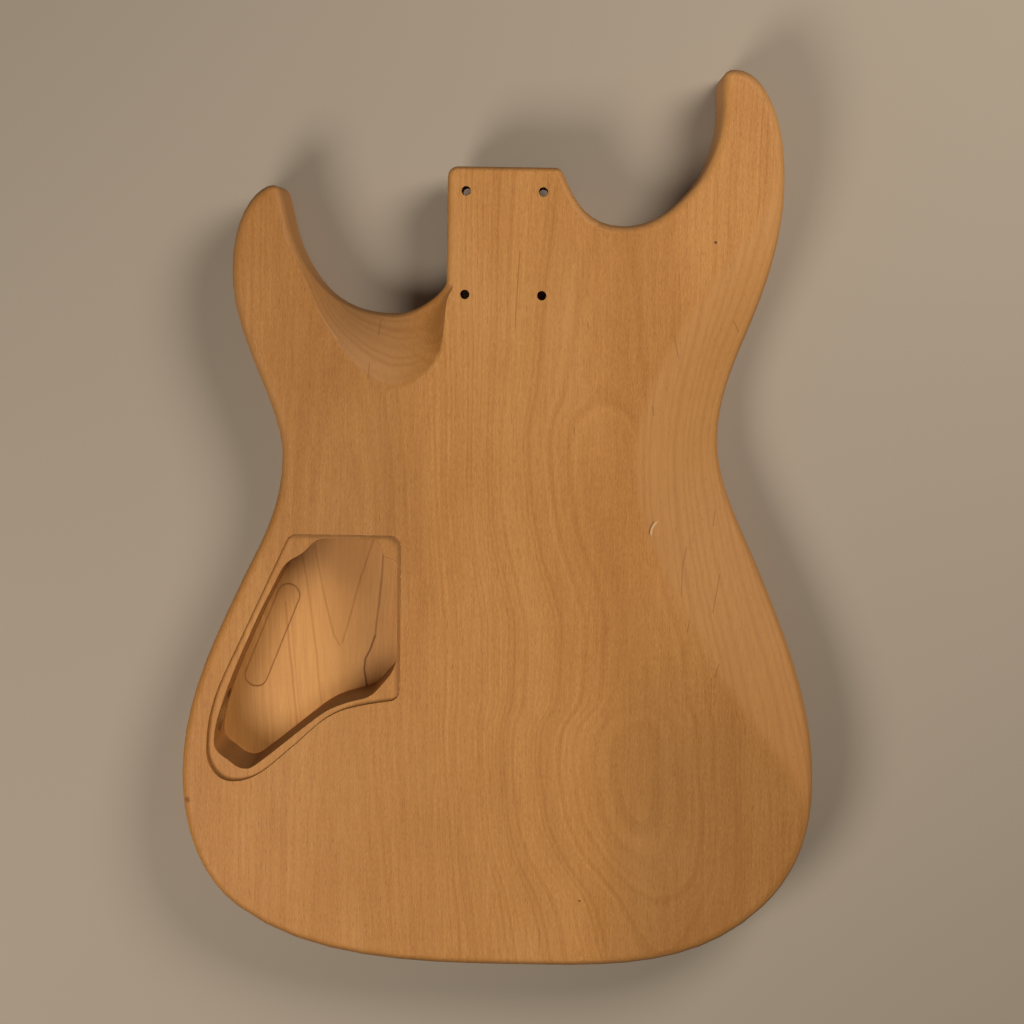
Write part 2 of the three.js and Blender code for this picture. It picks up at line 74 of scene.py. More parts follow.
# Where the photograph was taken from, and the lens that it fits
CAMERA_PLACE = (0.01925, 0.20273, 1.09445)
CAMERA_TURN = (-0.107086, 0.0133698, 0.016818)
LENS = 74.25
SENSOR = 36
CLIP_START = 0.01
CLIP_END = 20

# Azimuth and elevation of the lamps, in degrees
KEY_WAY = (219, 53)
FILL_WAY = (46, 47)
LAMP_COLOUR = (1, 0.95, 0.88)
SKY_COLOUR = (1, 0.96, 0.9)
FLOOR_SIZE = 6

# From here on, places, widths and depths are in millimetres, with the bass side at positive x.
# The lamps' light on the floor fades between these distances from the body's middle
LIT_REACH = (380, 1300)

# The pith of the alder lies this far over the back, and this is the depth from one side's pith to the other's
PITH_RISE = 60
RINGS_ACROSS = 190

# The pith of the maple, from the glue joint on the centreline and from the front of the top's wood
MAPLE_PITH_ACROSS = 79
MAPLE_PITH_DEPTH = 40

# How many millimetres of growth the noises span that shade the rings and change their width
ALDER_FINE_BANDS = 1.5
ALDER_WIDE_BANDS = 9.0
ALDER_YEARS = 13.0
CARVED_YEARS = 2.0
MAPLE_FINE_BANDS = 1.3
MAPLE_YEARS = 7.0
ALDER_RELIEF = 0.06 * MM
MAPLE_RELIEF = 0.04 * MM

# Curves along the body: how far along it, and the value there
GRAIN_DRIFT = ((-144, 13), (-88, 10), (-6, 1.5), (45, -4), (86, -6), (150, -2), (220, -8), (254, -11),
               (309, -12))
BASS_AXIS = ((-144, 87), (-110, 85), (-82, 78), (-56, 73.5), (-28, 71), (-4, 74), (21, 73.5), (46, 68),
             (72, 60.5), (97, 56), (122, 53.4), (152, 52), (309, 58))
BASS_TILT = ((-144, 3.6), (-110, 0), (-100, -2.3), (-82, -5.6), (-56, -8), (-28, -8), (-4, -4.6), (21, -3.8),
             (46, -2.8), (97, -3.6), (122, -3.4), (152, 0), (232, 2.5), (309, 4))
TREBLE_AXIS = ((-144, -75), (-7, -77), (109, -78), (180, -80), (309, -84))
TREBLE_TILT = ((-144, -5.2), (-100, -4), (-7, -1.9), (60, -0.8), (109, 0), (170, 2), (309, 6))
MAPLE_TILT = ((-144, 5.8), (17, -1.7), (64, -3.9), (309, -14.8))

# The middle of the straight-grained band, and how far the layers rise over the belly cut
STRAIGHT_MIDDLE = 8
CARVE_SLANT_RISE = 34

# Where one look of the wood fades into another, and where painted light and shade fade in: start and end of
# the fade
SIDE_CHANGE = (-45, 30)
TREBLE_SIDE = (20, -20)
STRAIGHT_BAND = (55, 25)
STEEP_RINGS = (4, 34)
CARVED_REACH = (32, 54)
CARVED_DEPTH = (0.15, 1.3)
SCOOP_END = (112, 96)
CARVE_SLANT = (60, 160)
BELLY_LIGHT = (60, 140)
BELLY_SHADE = (40, -20)
# The next two regions bound painted shade where the lamps' light falls off: the upper treble side and the
# lower bass flat
UPPER_TREBLE_SHADE = ((-25, -60), (20, 90))
LOWER_BASS_SHADE = ((42, 88), (80, -50))
# This region bounds a painted pool of light that brightens the bass horn
BASS_HORN_LIGHT = ((60, 100), (170, 230))

# The small ring that closes on itself on the bass side, by its depth
CLOSED_RING = 59.7
PALE_RING = 58.7
CLOSED_RING_EDGE = (0.8, 0.1)
CLOSED_RING_END = (175, 160)

# Marks in the alder: lines of drying checks, then round marks, each with its place and with the radii
# where it starts to show and where it is full
DRYING_CHECKS = (
    ((7.9, 219.5), (6.9, 200.0), (6.1, 181.4)),
    ((21.0, 256.8), (21.1, 250.4)),
    ((-61.6, 184), (-62.4, 176.5)),
    ((-66.1, 163), (-66.6, 155)),
    ((114.8, 186.5), (117.7, 181.0)),
    ((85.0, 178.6), (87.7, 167.5)),
    ((75.2, 143.8), (75.9, 139.3)),
    ((108.3, 91.0), (107.6, 83.5)),
    ((94.1, 73.1), (92.1, 63.0), (91.9, 49.0)),
    ((111.3, 59.0), (108.0, 40.4)),
    ((96.3, 36.4), (95.2, 30.8)),
    ((111.6, 14.3), (109.6, 7.9)),
    ((108.0, 7.2), (108.1, -12.0)),
    ((23.5, -124.7), (23.6, -137.9)),
)
CHECK_WIDTH = 0.4
PIN_HOLES = (((104.3, 225.0), (0.9, 0.5)), ((43.7, -109.1), (0.7, 0.35)))
STAIN = ((-156.8, -60.5), (2.2, 0.6))

# The small dent beside the belly cut: part of a ring, with a painted highlight inside and painted shadow
# along its edge
DENT_MIDDLE = (84.05, 79.9)
DENT_INSIDE = (7.3, 7.8)
DENT_OUTSIDE = (8.8, 8.5)
DENT_EDGE = 9.1
DENT_EDGE_WIDTH = (0.5, 0.15)
DENT_START = (78.5, 80.5)
DENT_END = (86.8, 85.2)
DENT_SIDE = (80.5, 79.0)
DENT_HIGHLIGHT = (0.72, 0.5, 0.27)

# Lines in the maple that the floor of the control cavity shows
MAPLE_LINES = (
    ((-105.5, 72.0), (-103.7, 62.3), (-99.4, 37.6), (-95.6, 11.3), (-92.8, -17.3), (-92.0, -36.0)),
    ((-112.0, 36.0), (-110.3, 20.6), (-107.6, -4.8), (-105.9, -26.6), (-105.2, -45.0)),
    ((-97.0, 66.0), (-94.8, 53.0), (-90.5, 35.2), (-86.3, 18.9), (-83.6, 14.0)),
    ((-64.5, 76.0), (-66.8, 67.6), (-72.9, 48.6), (-77.0, 32.8), (-82.0, 15.3)),
)
MAPLE_LINE_WIDTH = 0.75
MINERAL_START = ((-61.0, 62.0), (-62.4, 41.5), (-63.9, 29.3), (-64.8, 19.3))
MINERAL_START_WIDTH = 0.8
MINERAL_STREAK = ((-64.8, 19.3), (-66.9, 12.9), (-69.9, 7.0), (-70.4, 1.7), (-68.8, -8.5))
MINERAL_WIDTH = 0.75
MAPLE_END_COLOUR = (0.72, 0.68, 0.66)
WOOD_GLOSS = 0.28

# The shallow slot in the cavity's floor, with painted shade along its rim
SLOT_ENDS = ((-127.1, -2.8), (-110.2, 40.0))
SLOT_RADIUS = 5.9
SLOT_RIM_SHADE = (0.7, 0.1)


class AlderSettings(bpy.types.PropertyGroup):
    """Colours and grain of the three back boards."""

    early_wood: FloatVectorProperty(
        name="Early wood", description="Colour of the pale part of each growth ring",
        subtype="COLOR", size=3, min=0, max=1, default=(0.47, 0.207, 0.052))
    late_wood: FloatVectorProperty(
        name="Late wood", description="Colour of the dark part of each growth ring",
        subtype="COLOR", size=3, min=0, max=1, default=(0.33, 0.126, 0.022))
    grey_wood: FloatVectorProperty(
        name="Grey wood", description="Duller colour of the wood in patches and where it was carved",
        subtype="COLOR", size=3, min=0, max=1, default=(0.47, 0.235, 0.085))
    fleck: FloatVectorProperty(
        name="Fleck", description="Colour of the short brown flecks and of the drying checks",
        subtype="COLOR", size=3, min=0, max=1, default=(0.19, 0.06, 0.008))
    # This colour also paints the shadow along the dent's edge
    pore: FloatVectorProperty(
        name="Pore", description="Colour inside the short dark pores",
        subtype="COLOR", size=3, min=0, max=1, default=(0.11, 0.035, 0.008))
    end_grain: FloatVectorProperty(
        name="End grain", description="Colour that the wood is multiplied by where its end grain shows",
        subtype="COLOR", size=3, min=0, max=1, default=(0.5, 0.53, 0.62))
    ring_width: FloatProperty(
        name="Ring width", description="Thickness of one year's growth",
        subtype="DISTANCE", min=0.5 * MM, max=8 * MM, default=2.5 * MM)
    ring_contrast: FloatProperty(
        name="Ring contrast", description="How far the ring lines reach towards the late wood's colour",
        subtype="FACTOR", min=0, max=1, default=0.42)


class MapleSettings(bpy.types.PropertyGroup):
    """Colours and grain of the two top halves."""

    early_wood: FloatVectorProperty(
        name="Early wood", description="Colour of the pale part of each growth ring",
        subtype="COLOR", size=3, min=0, max=1, default=(0.61, 0.292, 0.082))
    late_wood: FloatVectorProperty(
        name="Late wood", description="Colour of the thin dark line that ends each growth ring",
        subtype="COLOR", size=3, min=0, max=1, default=(0.38, 0.145, 0.026))
    # This colour also paints the shade along the shallow slot's rim
    mineral: FloatVectorProperty(
        name="Mineral streak", description="Colour of the dark mineral streak",
        subtype="COLOR", size=3, min=0, max=1, default=(0.17, 0.045, 0.006))
    ring_width: FloatProperty(
        name="Ring width", description="Thickness of one year's growth",
        subtype="DISTANCE", min=0.5 * MM, max=8 * MM, default=3 * MM)
    ring_contrast: FloatProperty(
        name="Line contrast", description="How far the growth lines reach towards the late wood's colour",
        subtype="FACTOR", min=0, max=1, default=0.42)


class BoardSettings(bpy.types.PropertyGroup):
    """How the boards' cut edges are finished."""

    rim_ease: FloatProperty(
        name="Eased rim", description="How far the sandpaper breaks the rims of holes and cavities",
        subtype="DISTANCE", min=0, max=2 * MM, default=0.35 * MM)
    crease_ease: FloatProperty(
        name="Eased crease", description="How far the sandpaper rounds the start of the belly cut and scoop",
        subtype="DISTANCE", min=0, max=5 * MM, default=1.2 * MM)
    smooth_angle: FloatProperty(
        name="Smooth angle", description="Faces that meet at less than this are shaded as one surface",
        subtype="ANGLE", min=0, max=math.pi, default=math.radians(38))


class StageSettings(bpy.types.PropertyGroup):
    """Floor, lamps and sky."""

    floor_colour: FloatVectorProperty(
        name="Floor", description="Colour of the floor",
        subtype="COLOR", size=3, min=0, max=1, default=(0.378, 0.313, 0.242))
    floor_drop: FloatProperty(
        name="Floor drop", description="How far the floor lies under the body",
        subtype="DISTANCE", min=0, max=0.5, default=0.5 * MM)
    key_power: FloatProperty(
        name="Key lamp", description="Power of the lamp beyond the treble bout",
        subtype="POWER", unit="POWER", min=0, default=5.7)
    fill_power: FloatProperty(
        name="Fill lamp", description="Power of the lamp beyond the bass horn",
        subtype="POWER", unit="POWER", min=0, default=6.05)
    lamp_distance: FloatProperty(
        name="Lamp distance", description="How far the lamps hang from the body",
        subtype="DISTANCE", min=0.5, max=10, default=1.0)
    lamp_size: FloatProperty(
        name="Lamp size", description="Diameter of the lamps",
        subtype="DISTANCE", min=0.05, max=3, default=0.45)
    sky_strength: FloatProperty(
        name="Sky", description="Strength of the even light from all round", min=0, default=0.08)


class Signal:
    """One output of a node tree. Arithmetic on signals adds Math nodes, so shader sums read as sums."""

    def __init__(self, tree, socket):
        self.tree = tree
        self.socket = socket

    def feed(self, target):
        self.tree.links.new(self.socket, target)

    def maths(self, operation, *others, first=None):
        node = self.tree.nodes.new("ShaderNodeMath")
        node.operation = operation
        operands = (self, *others) if first is None else (first, self)
        for index, operand in enumerate(operands):
            if isinstance(operand, Signal):
                operand.feed(node.inputs[index])
            else:
                node.inputs[index].default_value = operand
        return Signal(self.tree, node.outputs[0])

    def __add__(self, other):
        return self.maths("ADD", other)

    def __radd__(self, other):
        return self.maths("ADD", other)

    def __sub__(self, other):
        return self.maths("SUBTRACT", other)

    def __rsub__(self, other):
        return self.maths("SUBTRACT", first=other)

    def __mul__(self, other):
        return self.maths("MULTIPLY", other)

    def __rmul__(self, other):
        return self.maths("MULTIPLY", other)

    def __truediv__(self, other):
        return self.maths("DIVIDE", other)

    def __pow__(self, other):
        return self.maths("POWER", other)

    def root(self):
        return self.maths("SQRT")

    def size(self):
        return self.maths("ABSOLUTE")

    def whole(self):
        return self.maths("FLOOR")

    def fraction(self):
        return self.maths("FRACT")

    def least(self, other):
        return self.maths("MINIMUM", other)

    def most(self, other):
        return self.maths("MAXIMUM", other)

    def swing(self, share):
        """A noise from 0 to 1, moved so that it swings evenly about 0."""
        return (self - 0.5) * share

    def rise(self, low, high, kind="SMOOTHSTEP"):
        """0 below low, 1 above high, and smooth between them. It falls where low is the higher."""
        node = self.tree.nodes.new("ShaderNodeMapRange")
        node.interpolation_type = kind
        self.feed(node.inputs["Value"])
        lower, upper = sorted((low, high))
        node.inputs["From Min"].default_value = lower
        node.inputs["From Max"].default_value = upper
        node.inputs["To Min"].default_value = 0 if low < high else 1
        node.inputs["To Max"].default_value = 1 if low < high else 0
        return Signal(self.tree, node.outputs[0])


class Finish:
    """A material under construction."""

    def __init__(self, name):
        self.material = bpy.data.materials.new(name)
        self.material.use_nodes = True
        self.tree = self.material.node_tree
        self.tree.nodes.clear()
        place = self.node("ShaderNodeTexCoord", output="Object")
        self.normal = Signal(self.tree, place.socket.node.outputs["Normal"])
        scaled = self.node("ShaderNodeVectorMath", {"operation": "SCALE"}, {"Vector": place, "Scale": 1 / MM})
        self.x, self.y, self.z = self.split(scaled)

    def node(self, kind, settings=None, sockets=None, output=0):
        """Adds a node: its settings first, then the values or links of its sockets."""
        node = self.tree.nodes.new(kind)
        for name, value in (settings or {}).items():
            if name == "curve":
                self.set_curve(node.mapping, value)
            else:
                setattr(node, name, value)
        for name, value in (sockets or {}).items():
            if isinstance(value, Signal):
                value.feed(node.inputs[name])
            else:
                node.inputs[name].default_value = value
        return Signal(self.tree, node.outputs[output])

    @staticmethod
    def set_curve(mapping, points):
        curve = mapping.curves[0]
        while len(curve.points) < len(points):
            curve.points.new(0.5, 0.5)
        for point, place in zip(curve.points, points):
            point.location = place
        mapping.update()

    def split(self, vector):
        parts = self.node("ShaderNodeSeparateXYZ", sockets={"Vector": vector}).socket.node
        return [Signal(self.tree, socket) for socket in parts.outputs]

    def vector(self, x, y, z):
        return self.node("ShaderNodeCombineXYZ", sockets={"X": x, "Y": y, "Z": z})

    def noise(self, vector, detail=2.0, roughness=0.5):
        return self.node("ShaderNodeTexNoise", None, {
            "Vector": vector, "Scale": 1.0, "Detail": detail, "Roughness": roughness})

    def line_noise(self, place, detail=0.0):
        return self.node("ShaderNodeTexNoise", {"noise_dimensions": "1D"}, {
            "W": place, "Scale": 1.0, "Detail": detail})

    def per_ring(self, ring):
        return self.node("ShaderNodeTexWhiteNoise", {"noise_dimensions": "1D"}, {"W": ring})

    def path(self, rows):
        """A smooth curve along the body: rows of millimetres along it, and the value there."""
        along = [row[0] for row in rows]
        values = [row[1] for row in rows]
        low, high = min(values) - 1, max(values) + 1
        start, end = min(along), max(along)
        points = sorted(((a - start) / (end - start), (v - low) / (high - low)) for a, v in rows)
        place = (self.y - start) / (end - start)
        curve = self.node("ShaderNodeFloatCurve", {"curve": points}, {"Value": place})
        return curve * (high - low) + low

    def reach(self, points):
        """Distance from a line through places on the body, in millimetres."""
        nearest = None
        for (x, y), (end_x, end_y) in zip(points, points[1:]):
            run_x, run_y = end_x - x, end_y - y
            from_x, from_y = self.x - x, self.y - y
            place = (from_x * run_x + from_y * run_y) / (run_x * run_x + run_y * run_y)
            place = place.most(0).least(1)
            off_x, off_y = from_x - place * run_x, from_y - place * run_y
            part = (off_x * off_x + off_y * off_y).root()
            nearest = part if nearest is None else nearest.least(part)
        return nearest

    def stroke(self, points, width):
        """1 along a thin line, fading to 0 at its edge."""
        return self.reach(points).rise(width, width * 0.3)

    def strokes(self, lines, width):
        """1 along any of several thin lines."""
        first, *others = [self.stroke(points, width) for points in lines]
        for other in others:
            first = first.most(other)
        return first

    def ring(self, place):
        """Distance from a place on the body."""
        off_x, off_y = self.x - place[0], self.y - place[1]
        return (off_x * off_x + off_y * off_y).root()

    def dot(self, place, radii):
        """1 on a small round mark, with the radii where it starts to show and where it is full."""
        return self.ring(place).rise(*radii)

    def region(self, fades):
        """1 in one part of the body, with the fades that lead into it across and along the body."""
        across, along = fades
        return self.x.rise(*across) * self.y.rise(*along)

    def blend(self, factor, first, second, kind="MIX"):
        node = self.tree.nodes.new("ShaderNodeMix")
        node.data_type = "RGBA"
        node.blend_type = kind
        for index, value in ((0, factor), (6, first), (7, second)):
            if isinstance(value, Signal):
                value.feed(node.inputs[index])
            elif index:
                node.inputs[index].default_value = (*value, 1)
            else:
                node.inputs[index].default_value = value
        return Signal(self.tree, node.outputs[2])

    def shade(self, colour, factor):
        """The colour made lighter or darker by a factor, and browner as it darkens, as wood does."""
        tint = self.node("ShaderNodeCombineColor", None, {
            "Red": factor, "Green": factor ** 1.4, "Blue": factor ** 2.2})
        return self.blend(1.0, colour, tint, "MULTIPLY")

    def finished(self, shader):
        """The material, with its last shader joined to the output."""
        shader.feed(self.tree.nodes.new("ShaderNodeOutputMaterial").inputs["Surface"])
        return self.material

    def surface(self, colour, roughness, height, bump_depth):
        """A wood surface with gloss and fine relief."""
        bump = self.node("ShaderNodeBump", None, {
            "Strength": 1.0, "Distance": bump_depth, "Height": height})
        shader = self.node("ShaderNodeBsdfPrincipled", None, {
            "Base Color": colour, "Roughness": roughness, "Specular IOR Level": WOOD_GLOSS, "Normal": bump})
        return self.finished(shader)


def growth_rings(finish, axis, tilt, axis_height):
    """Depth of the rings round the tree's pith, which runs along the board above its back."""
    across = finish.x - axis
    down = axis_height - finish.z
    return (across * across + down * down).root() + tilt


def wavy(finish, seed, across, along, reach):
    """A slow sideways wander of the fibres, whose waves are so far apart across and along the body."""
    place = finish.vector(finish.x / across + seed, finish.y / along, finish.z / across)
    return finish.noise(place).swing(2 * reach)


def grain_place(finish, across, along):
    """Coordinates for marks and patches, in units of their size across the grain and along it."""
    return finish.vector(finish.x / across, finish.y / along, finish.z / across)


def end_grain_share(finish):
    """0 where the surface runs along the grain, and 1 where it faces along it."""
    along = finish.split(finish.normal)[1]
    return along.size().rise(0.2, 1.0)


def ring_lines(wood, count, low):
    """The dark line that ends each growth ring, strong in some years and faint in others."""
    strength = wood.per_ring(count.whole())
    return count.fraction().rise(low, 0.96) * (0.2 + 0.8 * strength * strength)


def back_rings(wood, drift):
    """Depth into the tree all over the back, and the rings and pith of its bass side."""
    axis_height = BACK_HEIGHT / MM + PITH_RISE
    bass_axis = wood.path(BASS_AXIS)
    bass_rings = growth_rings(wood, bass_axis, wood.path(BASS_TILT), axis_height)
    treble_rings = growth_rings(wood, wood.path(TREBLE_AXIS), wood.path(TREBLE_TILT), axis_height)
    bass_share = (wood.x - drift).rise(*SIDE_CHANGE)
    depth = treble_rings * (1 - bass_share) + (RINGS_ACROSS - bass_rings) * bass_share
    return depth, bass_rings, bass_axis


def carved_lines(wood, carved, treble_side):
    """The growth layers that the belly cut and the scoop slice at a slant, as lines."""
    slant = wood.x.rise(*CARVE_SLANT, "LINEAR") * CARVE_SLANT_RISE
    spacing = 2.4 - treble_side * 0.3
    layers = (carved + slant + wavy(wood, seed=6.4, across=26, along=55, reach=0.8)) / spacing
    layers = layers + wood.line_noise(layers / CARVED_YEARS).swing(1.2)
    line = ((layers.fraction() - 0.5).size() * 2).rise(0.25, 1.0)
    return line * (0.35 + 0.65 * wood.per_ring((layers + 0.5).whole()))


def dent(wood, colour, edge_shadow_colour):
    """The colour with the small dent's painted highlight inside and painted shadow along its edge, and the
    highlight's mask.
    """
    reach = wood.ring(DENT_MIDDLE)
    sides = wood.y.rise(*DENT_START) * wood.y.rise(*DENT_END) * wood.x.rise(*DENT_SIDE)
    inside = reach.rise(*DENT_INSIDE) * reach.rise(*DENT_OUTSIDE) * sides
    edge = (reach - DENT_EDGE).size().rise(*DENT_EDGE_WIDTH) * sides
    # Painted highlight inside the dent, and painted shadow along its edge
    colour = wood.blend(inside * 0.5, colour, DENT_HIGHLIGHT)
    return wood.blend(edge * 0.75, colour, edge_shadow_colour), inside


def alder_material(settings):
    """Sanded alder: flat-sawn arches on both sides, close wavy lines between, few dark pores."""
    wood = Finish("sanded_alder")
    fleck_colour, pore_and_shadow_colour = tuple(settings.fleck), tuple(settings.pore)
    surface_x = wood.x
    drift = wood.path(GRAIN_DRIFT)
    wander = (wavy(wood, seed=3.1, across=34, along=95, reach=2.2)
              + wavy(wood, seed=8.7, across=9, along=36, reach=0.6)
              + wavy(wood, seed=5.2, across=5, along=14, reach=0.22))
    wood.x = surface_x - wander

    depth, bass_rings, bass_axis = back_rings(wood, drift)
    count = depth / (settings.ring_width / MM) + wood.line_noise(depth / ALDER_YEARS).swing(0.9)
    calm = wood.noise(grain_place(wood, across=38, along=90), detail=1.0).rise(0.36, 0.62)
    line = ring_lines(wood, count, 0.5) * (0.3 + 0.7 * calm)
    closed_end = wood.y.rise(*CLOSED_RING_END)
    closed_ring = (bass_rings - CLOSED_RING).size().rise(*CLOSED_RING_EDGE) * closed_end
    pale_ring = (bass_rings - PALE_RING).size().rise(*CLOSED_RING_EDGE) * closed_end
    line = line.most(closed_ring * 0.5) - pale_ring * 0.15

    carved = BACK_HEIGHT / MM - wood.z
    treble_side = wood.x.rise(*TREBLE_SIDE)
    flat_sawn = (wood.x - drift).size().rise(*CARVED_REACH) * carved.rise(*CARVED_DEPTH)
    flat_sawn = flat_sawn * (1 - treble_side * wood.y.rise(*SCOOP_END))
    layer_line = carved_lines(wood, carved, treble_side)
    line = line * (1 - flat_sawn) + layer_line * flat_sawn * (1.1 + treble_side * 0.5)

    steep = (wood.x - bass_axis).size().rise(*STEEP_RINGS)
    bands = wood.line_noise(depth / ALDER_FINE_BANDS, detail=3.0)
    wide_bands = wood.line_noise(depth / ALDER_WIDE_BANDS + 40.0, detail=1.0)
    straight = (wood.x - drift - STRAIGHT_MIDDLE).size().rise(*STRAIGHT_BAND)
    banding = bands.swing(0.62) + wide_bands.swing(0.36)
    banding = banding * (0.3 + 0.7 * steep) * (1 - flat_sawn * 0.7 + straight * 0.55)
    late = (0.23 + line * settings.ring_contrast + banding).most(0).least(1)
    colour = wood.blend(late, tuple(settings.early_wood), tuple(settings.late_wood))

    cloud = wood.noise(grain_place(wood, across=45, along=120), detail=3.0)
    streak = wood.noise(grain_place(wood, across=1.0, along=34.0), detail=3.0, roughness=0.65)
    fine = wood.noise(grain_place(wood, across=0.34, along=2.2), detail=3.0, roughness=0.75)
    belly = flat_sawn * (1 - treble_side)
    tone = 1 + straight * 0.05 + belly * (wood.y.rise(*BELLY_LIGHT) * 0.1 - wood.y.rise(*BELLY_SHADE) * 0.06)
    tone = tone + streak.swing(0.34) + (fine - 0.5) * (0.75 - 0.4 * flat_sawn) + cloud.swing(0.34)
    # A painted pool of light brightens the bass horn by a tenth
    colour = wood.shade(colour, tone * (1 + wood.region(BASS_HORN_LIGHT) * 0.1))
    # Painted shade, mixed in towards black: darker over the upper treble side and the lower bass flat, where
    # the lamps' light falls off
    falloff_shade = wood.region(UPPER_TREBLE_SHADE) * 0.12 + wood.region(LOWER_BASS_SHADE) * (1 - flat_sawn) * 0.2
    colour = wood.blend(falloff_shade, colour, (0, 0, 0))
    grey = (flat_sawn * 0.35).most(cloud.rise(0.5, 0.75) * 0.2)
    colour = wood.blend(grey, colour, tuple(settings.grey_wood))

    fleck = wood.noise(grain_place(wood, across=0.4, along=7.0), detail=1.0).rise(0.6, 0.74)
    colour = wood.blend(fleck * (0.32 - 0.14 * flat_sawn), colour, fleck_colour)
    pores = wood.noise(grain_place(wood, across=0.6, along=7.5), detail=1.0).rise(0.72, 0.79)
    colour = wood.blend(pores * 0.45, colour, pore_and_shadow_colour)

    wood.x = surface_x
    checks = wood.strokes(DRYING_CHECKS, CHECK_WIDTH)
    colour = wood.blend(checks * 0.45, colour, fleck_colour)
    pins = wood.dot(*PIN_HOLES[0]).most(wood.dot(*PIN_HOLES[1]))
    colour = wood.blend(pins.most(wood.dot(*STAIN) * 0.6), colour, pore_and_shadow_colour)
    # The dent, with its painted highlight and painted shadow
    colour, dented = dent(wood, colour, pore_and_shadow_colour)
    end = end_grain_share(wood)
    colour = wood.blend(end, colour, tuple(settings.end_grain), "MULTIPLY")

    roughness = 0.56 + fine.swing(0.16) + end * 0.15
    height = fine * 0.35 + streak * 0.25 - pores * 0.5 - checks * 0.5 - pins * 2 - dented * 0.6
    return wood.surface(colour, roughness, height, ALDER_RELIEF)


def maple_material(settings):
    """Sanded maple: pale and fine, with a few thin growth lines and one mineral streak."""
    wood = Finish("sanded_maple")
    surface_x = wood.x
    wood.x = (surface_x - wavy(wood, seed=5.3, across=20, along=60, reach=1.2)
              - wavy(wood, seed=1.9, across=6, along=22, reach=0.4))
    across = wood.x.size() - MAPLE_PITH_ACROSS
    down = MAPLE_PITH_DEPTH + GLUE_HEIGHT / MM - wood.z
    depth = (across * across + down * down).root() + wood.path(MAPLE_TILT) - MAPLE_PITH_DEPTH
    count = depth / (settings.ring_width / MM) + wood.line_noise(depth / MAPLE_YEARS + 3.0).swing(0.4)
    line = ring_lines(wood, count, 0.84)
    heart = depth.rise(0.8, -0.8)
    bands = wood.line_noise(depth / MAPLE_FINE_BANDS, detail=3.0)
    growth = wood.strokes(MAPLE_LINES, MAPLE_LINE_WIDTH)
    late = 0.12 + line * 0.3 + growth * settings.ring_contrast + heart * 0.3 + bands.swing(0.5)
    colour = wood.blend(late.most(0).least(1), tuple(settings.early_wood), tuple(settings.late_wood))

    cloud = wood.noise(grain_place(wood, across=40, along=90), detail=3.0)
    fine = wood.noise(grain_place(wood, across=0.34, along=3.0), detail=2.0, roughness=0.7)
    streak = wood.noise(grain_place(wood, across=1.4, along=26.0), detail=2.0, roughness=0.6)
    colour = wood.shade(colour, 1 + streak.swing(0.24) + fine.swing(0.18) + cloud.swing(0.28))

    wood.x = surface_x
    # Painted shade along the rim of the shallow slot, in the mineral streak's colour
    slot_rim_shade = (wood.reach(SLOT_ENDS) - SLOT_RADIUS).size().rise(*SLOT_RIM_SHADE)
    colour = wood.blend(slot_rim_shade * 0.35, colour, tuple(settings.mineral))
    wood.x = surface_x - wavy(wood, seed=2.4, across=4, along=9, reach=0.5)
    faint = wood.stroke(MINERAL_START, MINERAL_START_WIDTH) * 0.5
    dark = wood.stroke(MINERAL_STREAK, MINERAL_WIDTH) * 0.85
    colour = wood.blend(faint.most(dark), colour, tuple(settings.mineral))
    end = end_grain_share(wood)
    colour = wood.blend(end * 0.6, colour, MAPLE_END_COLOUR, "MULTIPLY")

    roughness = 0.52 + fine.swing(0.14) + end * 0.12
    height = fine * 0.4 + streak * 0.2 - line * 0.3
    return wood.surface(colour, roughness, height, MAPLE_RELIEF)


def only(obj):
    """Selects one object and makes it active, with nothing else selected."""
    bpy.ops.object.select_all(action="DESELECT")
    obj.select_set(True)
    bpy.context.view_layer.objects.active = obj


def edit_mesh(obj, select):
    """Selects, in edit mode, the edges or faces for which a test holds."""
    mesh = bmesh.from_edit_mesh(obj.data)
    mesh.normal_update()
    found = select(mesh)
    bpy.ops.mesh.select_all(action="DESELECT")
    for part in found:
        part.select_set(True)
    bmesh.update_edit_mesh(obj.data)
    return len(found)


def joint_planes(nodes):
    """Where boards that lie side by side are glued together."""
    return sorted(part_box(node)[1].x for node in nodes)[:-1]


def in_plane(face, planes):
    """Whether a face lies in one of the planes where boards are glued together."""
    return abs(face.normal.x) > LEVEL and any(
        abs(face.calc_center_median().x - plane) < TINY for plane in planes)


def rims(mesh):
    """The crisp edges that a router or drill left round the flat front, back and ledge."""
    found = []
    for edge in mesh.edges:
        if len(edge.link_faces) != 2 or not edge.is_convex:
            continue
        lids = [face for face in edge.link_faces if abs(face.normal.z) > LEVEL]
        walls = [face for face in edge.link_faces if abs(face.normal.z) < UPRIGHT]
        height = (edge.verts[0].co.z + edge.verts[1].co.z) / 2
        if lids and walls and abs(height - GLUE_HEIGHT) > TINY:
            found.append(edge)
    return found


def width_beside(face, edge):
    """How far a face reaches from one of its edges, as a triangle or a rectangle."""
    share = 2 if len(face.verts) == 3 else 1
    return share * face.calc_area() / edge.calc_length()


def creases(mesh):
    """The lines where the belly cut and the scoop leave the flat back."""
    found = []
    for edge in mesh.edges:
        if len(edge.link_faces) != 2 or not edge.is_convex:
            continue
        if any(abs(vertex.co.z - BACK_HEIGHT) > TINY for vertex in edge.verts):
            continue
        slopes = [face for face in edge.link_faces if SLOPING[0] < face.normal.z < SLOPING[1]]
        flats = [face for face in edge.link_faces if face.normal.z > DEAD_LEVEL]
        if slopes and flats and width_beside(slopes[0], edge) > CARVE_STEP:
            found.append(edge)
    return found


